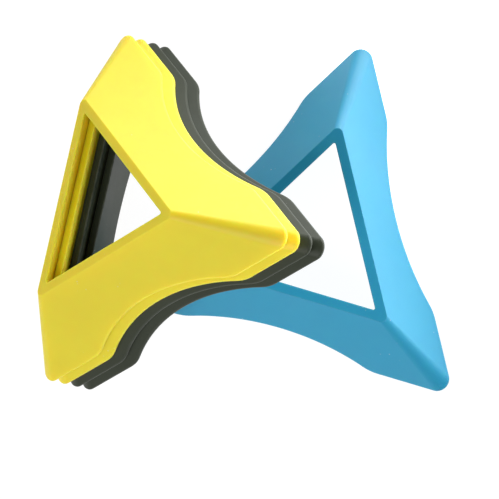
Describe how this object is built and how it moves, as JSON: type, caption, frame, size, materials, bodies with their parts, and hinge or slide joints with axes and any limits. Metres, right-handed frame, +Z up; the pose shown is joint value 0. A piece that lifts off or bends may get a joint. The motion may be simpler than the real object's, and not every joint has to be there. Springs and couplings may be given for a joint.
{
  "type": "nesting puzzle display stand set",
  "caption": "Nesting display stands for twisty puzzles: low triangular shells with a triangular window and arched sides, shown as a leaning stack beside a flat stand.",
  "frame": {"origin": "centre of the whole set's outline on the table plane", "axes": "+Z up from the table, +X from the leaning stack towards the flat stand, +Y away from a viewer at the near edge, up in a picture taken from above"},
  "size_m": [0.0776, 0.0678, 0.05],
  "materials": {
    "blue_plastic": "satin",
    "black_plastic": "satin",
    "yellow_plastic": "satin"
  },
  "bodies": {
    "flat_stand": {"blue_stand": "blue_plastic"},
    "stack_base": {"black_stand_lower": "black_plastic"},
    "stack_second": {"black_stand_upper": "black_plastic"},
    "stack_third": {"yellow_stand_lower": "yellow_plastic"},
    "stack_top": {"yellow_stand_upper": "yellow_plastic"}
  },
  "joints": [
    {"name": "stack_lift", "type": "slide", "parent": "flat_stand", "child": "stack_base", "axis": [0, 0, 1], "range_m": [0, 0.06]},
    {"name": "black_upper_pull", "type": "slide", "parent": "stack_base", "child": "stack_second", "axis": [-0.7144, 0.1599, 0.6812], "range_m": [0, 0.03]},
    {"name": "yellow_lower_pull", "type": "slide", "parent": "stack_second", "child": "stack_third", "axis": [-0.7144, 0.1599, 0.6812], "range_m": [0, 0.03]},
    {"name": "yellow_upper_pull", "type": "slide", "parent": "stack_third", "child": "stack_top", "axis": [-0.7144, 0.1599, 0.6812], "range_m": [0, 0.03]}
  ]
}
